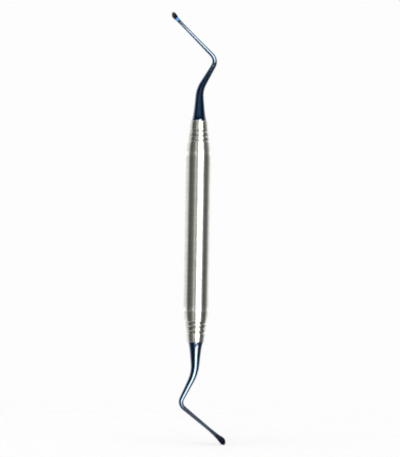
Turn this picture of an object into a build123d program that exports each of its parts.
from build123d import *
from math import atan2, cos, exp, inf, pi, radians, sin, sqrt, tan
import os

# Double-ended surgical spoon elevator: a hollow satin steel handle with a
# turned nose at each end, and a blue-coated working end pressed into each nose.
# All lengths in millimetres, angles in degrees. The handle axis is Z, the
# shanks are bent in the XZ plane, and both cups open towards -Y. The origin is
# the middle of the handle, on its axis.
# Upper parts lie at +Z (sign 1), lower parts at -Z (sign -1).

# ---- handle ---------------------------------------------------------------
joint_span = 88.5          # nose face to nose face
face_z = joint_span / 2
barrel_r = 5.0             # outside of the plain barrel
barrel_bore_r = 4.0        # bore the nose spigots sit in
barrel_bore_chamfer = 0.15
seam_chamfer = 0.10        # fine V line where nose and barrel meet

nose_len = 12.55           # length of the conical nose outside the barrel
nose_face_r = 3.40         # cone radius extended to the nose face
nose_edge_r = 0.25         # rolled edge of the nose face
nose_edge_end = 0.27       # depth where the rolled edge meets the cone
spigot_end = nose_len + 8.0  # depth of the inner end of the spigot
spigot_r = barrel_bore_r - 0.010  # leaves a bond line inside the barrel
spigot_chamfer = 0.4
socket_r = 1.50            # blind socket for the tang
socket_depth = 12.4
socket_tip = 0.6           # cone at the bottom of the socket
light_bore_r = 2.90        # lightening bore behind the socket
bulkhead_depth = 14.2      # depth where the lightening bore ends
bulkhead_chamfer = 0.6
mouth_chamfer = 0.2        # mouths of the socket and the lightening bore

# three finger grooves, measured from the nose face
groove_depths = (4.00, 5.92, 7.84)
groove_half = 0.46
groove_drop = 0.30         # below the cone line
land_edge_drop = 0.14      # the lands between grooves are crowned
land_crown_drop = 0.03

# ---- tang -----------------------------------------------------------------
tang_r = 1.490
tang_len = 12.0
tang_overlap = 0.05        # runs this far into the shank
tang_chamfer = 0.4
key_r = 1.33               # three shallow keys for the bond
key_count = 3
key_start = 3.0            # first key, below the nose face
key_pitch = 2.4
key_slope = 0.2            # length of each sloping wall
key_len = 1.1

# ---- shank ----------------------------------------------------------------
# diameter law: floor + slow taper + short trumpet flare at the foot
shoulder_r = 3.12          # foot of the shank, resting on the nose face
floor_d = 1.15
taper_d = 4.47
taper_len = 14.0
flare_d = 2 * shoulder_r - floor_d - taper_d
flare_len = 0.9

# loft sections: close together at the foot, then evenly spaced to the spoon
foot_stations = (0.0, 0.25, 0.6, 1.1, 1.8, 2.7, 3.8, 5.0, 6.3, 7.6)
shank_steps = 34
ellipse_margin = 1e-6      # keeps the round sections true ellipses

# ---- ramp and rim ---------------------------------------------------------
ramp_angle = 22.0          # grinding ramp from the shank down to the rim plane
ramp_blend_r = 2.6
rim_y = -0.05              # rim plane of both cups
cut_end = 25.0             # beyond the spoon tip, along the last straight
cut_reach = 3.0            # beyond the spoon towards -Y and to both sides

# ---- working ends ---------------------------------------------------------
# Centreline: straight, bend, straight, opposite bend, last straight.
# Spoon columns: distance past the second bend, width, half thickness,
# sideways offset, centre height (Y).
# Ramp start and cup middle are distances past the second bend too.
upper_end = dict(
    sign=1,
    first_straight=9.6, bend1_angle=29.5, bend1_r=11.1,
    middle_straight=8.0, bend2_angle=74.7, bend2_r=3.67,
    spoon=(
        (17.0, 1.345, 0.672, 0.00, 0.00),
        (17.9, 1.370, 0.682, 0.00, 0.00),
        (18.7, 1.420, 0.695, 0.00, 0.00),
        (19.4, 1.510, 0.715, 0.01, 0.01),
        (20.0, 1.640, 0.745, 0.02, 0.02),
        (20.5, 1.790, 0.770, 0.035, 0.02),
        (21.0, 1.935, 0.785, 0.07, 0.02),
        (21.5, 2.020, 0.780, 0.12, 0.01),
        (22.0, 1.985, 0.730, 0.19, 0.00),
        (22.4, 1.800, 0.640, 0.275, 0.00),
        (22.7, 1.540, 0.540, 0.35, 0.00),
        (22.93, 1.230, 0.430, 0.41, 0.00),
        (23.09, 0.910, 0.320, 0.455, 0.00),
        (23.19, 0.610, 0.215, 0.48, 0.00),
        (23.25, 0.300, 0.110, 0.495, 0.00),
    ),
    ramp_start=18.40, ramp_y=-0.72,
    cup_mid=21.77, cup_side=0.165, cup_turn=13.0,
    cup_half_len=1.28, cup_half_width=0.87, cup_depth=0.56,
)
lower_end = dict(
    sign=-1,
    first_straight=8.5, bend1_angle=26.0, bend1_r=16.4,
    middle_straight=7.75, bend2_angle=77.1, bend2_r=3.10,
    spoon=(
        (13.0, 1.400, 0.700, 0.00, 0.00),
        (14.0, 1.440, 0.715, 0.01, 0.00),
        (15.0, 1.520, 0.735, 0.03, 0.00),
        (16.0, 1.620, 0.755, 0.05, 0.00),
        (17.0, 1.760, 0.780, 0.08, 0.00),
        (17.6, 1.890, 0.800, 0.10, 0.01),
        (18.2, 2.060, 0.815, 0.115, 0.02),
        (18.8, 2.245, 0.825, 0.13, 0.02),
        (19.4, 2.420, 0.830, 0.15, 0.02),
        (20.0, 2.530, 0.815, 0.20, 0.01),
        (20.5, 2.500, 0.760, 0.29, 0.00),
        (20.95, 2.270, 0.660, 0.40, 0.00),
        (21.3, 1.880, 0.540, 0.49, 0.00),
        (21.56, 1.430, 0.410, 0.55, 0.00),
        (21.74, 0.990, 0.290, 0.585, 0.00),
        (21.84, 0.620, 0.180, 0.60, 0.00),
        (21.89, 0.300, 0.090, 0.61, 0.00),
    ),
    ramp_start=16.90, ramp_y=-0.80,
    cup_mid=20.36, cup_side=0.265, cup_turn=15.0,
    cup_half_len=1.33, cup_half_width=1.09, cup_depth=0.62,
)


# ---- handle barrel and noses ------------------------------------------------
def make_barrel():
    """Plain tube between the two noses."""
    half_len = face_z - nose_len
    with BuildPart() as barrel:
        with BuildSketch(Plane.XZ):
            with BuildLine():
                Polyline(
                    (barrel_bore_r + barrel_bore_chamfer, -half_len),
                    (barrel_r - seam_chamfer, -half_len),
                    (barrel_r, -half_len + seam_chamfer),
                    (barrel_r, half_len - seam_chamfer),
                    (barrel_r - seam_chamfer, half_len),
                    (barrel_bore_r + barrel_bore_chamfer, half_len),
                    (barrel_bore_r, half_len - barrel_bore_chamfer),
                    (barrel_bore_r, -half_len + barrel_bore_chamfer),
                    close=True,
                )
            make_face()
        revolve(axis=Axis.Z)
    return barrel.part


def cone_r(depth):
    """Radius of the nose cone at a depth from the nose face."""
    return nose_face_r + (barrel_r - nose_face_r) * depth / nose_len


def draw_nose_outline(sign):
    """Draw the closed half section of a nose into the current BuildLine."""

    def at(radius, depth):
        return (radius, sign * (face_z - depth))

    # nose face and rolled edge
    slope = atan2(barrel_r - nose_face_r, nose_len)
    edge_centre_r = cone_r(nose_edge_r) - nose_edge_r / cos(slope)
    edge_mid_angle = pi / 4 - slope / 2
    edge_start = at(edge_centre_r, 0.0)
    edge_mid = at(
        edge_centre_r + nose_edge_r * cos(edge_mid_angle),
        nose_edge_r - nose_edge_r * sin(edge_mid_angle),
    )
    run_end = at(cone_r(nose_edge_end), nose_edge_end)
    Line(at(socket_r + mouth_chamfer, 0.0), edge_start)
    ThreePointArc(edge_start, edge_mid, run_end)

    # finger grooves; the outermost groove edges lie on the cone
    last = len(groove_depths) - 1
    for i, depth in enumerate(groove_depths):
        near, far = depth - groove_half, depth + groove_half
        near_edge = at(cone_r(near) - (0 if i == 0 else land_edge_drop), near)
        far_edge = at(cone_r(far) - (0 if i == last else land_edge_drop), far)
        if i == 0:
            Line(run_end, near_edge)
        else:
            crown = (groove_depths[i - 1] + depth) / 2
            ThreePointArc(run_end, at(cone_r(crown) - land_crown_drop, crown), near_edge)
        ThreePointArc(near_edge, at(cone_r(depth) - groove_drop, depth), far_edge)
        run_end = far_edge

    # rest of the cone, spigot, lightening bore, bulkhead and socket
    seam_depth = nose_len - seam_chamfer
    Polyline(
        run_end,
        at(cone_r(seam_depth), seam_depth),
        at(barrel_r - seam_chamfer, nose_len),
        at(spigot_r, nose_len),
        at(spigot_r, spigot_end - spigot_chamfer),
        at(spigot_r - spigot_chamfer, spigot_end),
        at(light_bore_r + mouth_chamfer, spigot_end),
        at(light_bore_r, spigot_end - mouth_chamfer),
        at(light_bore_r, bulkhead_depth + bulkhead_chamfer),
        at(light_bore_r - bulkhead_chamfer, bulkhead_depth),
        at(0.0, bulkhead_depth),
        at(0.0, socket_depth + socket_tip),
        at(socket_r, socket_depth),
        at(socket_r, mouth_chamfer),
        at(socket_r + mouth_chamfer, 0.0),
    )


def make_nose(sign):
    """Turned nose with finger grooves, spigot and tang socket."""
    with BuildPart() as nose:
        with BuildSketch(Plane.XZ):
            with BuildLine():
                draw_nose_outline(sign)
            make_face()
        revolve(axis=Axis.Z)
    return nose.part


# ---- centreline and planes of a working end -----------------------------------
def bent_segments(end):
    """(length, turn in radians) of each segment before the last straight."""
    turn1, turn2 = radians(end["bend1_angle"]), radians(end["bend2_angle"])
    return (
        (end["first_straight"], 0.0),
        (end["bend1_r"] * turn1, turn1),
        (end["middle_straight"], 0.0),
        (end["bend2_r"] * turn2, -turn2),
    )


def last_straight(end):
    """Distance along the centreline where the last straight starts."""
    return sum(length for length, turn in bent_segments(end))


def centreline(end, distance):
    """X, rise above the nose face and heading, before the end's sign is applied."""
    x = rise = heading = 0.0
    for length, turn in (*bent_segments(end), (inf, 0.0)):
        part = min(distance, length)
        if turn == 0.0:
            x += part * sin(heading)
            rise += part * cos(heading)
        else:
            new_heading = heading + turn * part / length
            radius = length / turn
            x += radius * (cos(heading) - cos(new_heading))
            rise += radius * (sin(new_heading) - sin(heading))
            heading = new_heading
        distance -= part
    return x, rise, heading


def frame_at(end, distance, side, turn=0.0):
    """Origin, direction along the end and direction across it, all in XZ."""
    x, rise, heading = centreline(end, distance)
    sign = end["sign"]
    origin = Vector(x + side * cos(heading), 0, face_z + rise - side * sin(heading)) * sign
    heading += radians(turn)
    along = Vector(sin(heading), 0, cos(heading)) * sign
    across = Vector(cos(heading), 0, -sin(heading)) * sign
    return origin, along, across


def section_plane(end, distance, side, height):
    """Plane square to the centreline: x across it in the bend plane, y = +Y."""
    origin, along, across = frame_at(end, distance, side)
    return Plane(origin=origin + Vector(0, height, 0), x_dir=across, z_dir=along)


def lengthwise_plane(end, past=0.0, side=0.0, turn=0.0):
    """Plane a distance past the second bend: x along the spoon, y = +Y."""
    origin, along, across = frame_at(end, last_straight(end) + past, side, turn)
    return Plane(origin=origin, x_dir=along, z_dir=across * -1)


# ---- working ends -------------------------------------------------------------
def shank_diameter(distance):
    """Diameter of the round shank at a distance from the nose face."""
    return (floor_d + taper_d * exp(-distance / taper_len)
            + flare_d * exp(-distance / flare_len))


def loft_stations(end):
    """Loft stations: (distance, half width, half thickness, side, height)."""
    straight_start = last_straight(end)
    foot_end = foot_stations[-1]
    spoon_start = straight_start + end["spoon"][0][0]
    distances = list(foot_stations) + [
        foot_end + (spoon_start - foot_end) * i / shank_steps for i in range(1, shank_steps)
    ]
    stations = []
    for distance in distances:
        radius = shank_diameter(distance) / 2
        stations.append((distance, radius, radius, 0.0, 0.0))
    for past, width, half_thickness, side, height in end["spoon"]:
        stations.append((straight_start + past, width / 2, half_thickness, side, height))
    return stations


def ramp_points(end):
    """Ramp profile: start, middle and end of the convex blend, then the rim."""
    angle = radians(ramp_angle)

    def blend_point(turned):
        return (end["ramp_start"] + ramp_blend_r * sin(turned),
                end["ramp_y"] + ramp_blend_r * (1 - cos(turned)))

    blend_end = blend_point(angle)
    rim_x = blend_end[0] + (rim_y - blend_end[1]) / tan(angle)
    return blend_point(0), blend_point(angle / 2), blend_end, (rim_x, rim_y)


def cup_sizes(end):
    """Spheroid of the cup: short radius, axis offset from the rim, long radius."""
    half_width, depth = end["cup_half_width"], end["cup_depth"]
    short_r = (depth + half_width * half_width / depth) / 2
    offset = short_r - depth
    return short_r, offset, end["cup_half_len"] / sqrt(1 - (offset / short_r) ** 2)


def tang_outline(sign):
    """Half section of the tang with its keys, as (radius, z) points."""
    top = face_z + tang_overlap
    tip = face_z - tang_len
    points = [(0, top), (tang_r, top)]
    for i in range(key_count):
        z = face_z - key_start - key_pitch * i
        points += [
            (tang_r, z),
            (key_r, z - key_slope),
            (key_r, z - key_len + key_slope),
            (tang_r, z - key_len),
        ]
    points += [(tang_r, tip + tang_chamfer), (tang_r - tang_chamfer, tip), (0, tip)]
    return [(radius, sign * z) for radius, z in points]


def make_working_end(end):
    """Single bent blank: tang, shank and spoon."""
    with BuildPart() as working_end:
        # shank and spoon body
        for distance, half_width, half_thickness, side, height in loft_stations(end):
            with BuildSketch(section_plane(end, distance, side, height)):
                with BuildLine():
                    for start_angle in (0, 180):
                        EllipticalCenterArc(
                            (0, 0), half_width + ellipse_margin, half_thickness,
                            start_angle, arc_size=180,
                        )
                make_face()
        loft()

        # ramp ground down to the rim plane, then the flat rim plane
        start, mid, low, rim = ramp_points(end)
        with BuildSketch(lengthwise_plane(end)):
            with BuildLine():
                ThreePointArc(start, mid, low)
                Polyline(
                    low, rim, (cut_end, rim_y), (cut_end, -cut_reach),
                    (start[0], -cut_reach), start,
                )
            make_face()
        extrude(amount=cut_reach, both=True, mode=Mode.SUBTRACT)

        # cup: a spheroid whose axis lies on the -Y side of the rim plane
        short_r, offset, long_r = cup_sizes(end)
        axis_y = rim_y - offset
        cup_plane = lengthwise_plane(end, end["cup_mid"], end["cup_side"], end["cup_turn"])
        with BuildSketch(cup_plane):
            with BuildLine():
                EllipticalCenterArc((0, axis_y), long_r, short_r, start_angle=0, arc_size=180)
                Line((-long_r, axis_y), (long_r, axis_y))
            make_face()
        revolve(
            axis=Axis(cup_plane.from_local_coords((0, axis_y, 0)), cup_plane.x_dir),
            mode=Mode.SUBTRACT,
        )

        # tang, pressed and bonded into the nose socket
        with BuildSketch(Plane.XZ):
            with BuildLine():
                Polyline(*tang_outline(end["sign"]), close=True)
            make_face()
        revolve(axis=Axis.Z)
    return working_end.part


# ---- export -------------------------------------------------------------------
parts = {
    "handle_barrel": make_barrel(),
    "upper_nose": make_nose(1),
    "lower_nose": make_nose(-1),
    "upper_working_end": make_working_end(upper_end),
    "lower_working_end": make_working_end(lower_end),
}
os.makedirs("parts", exist_ok=True)
for name, part in parts.items():
    part.label = name
    export_step(part, "parts/" + name + ".step")
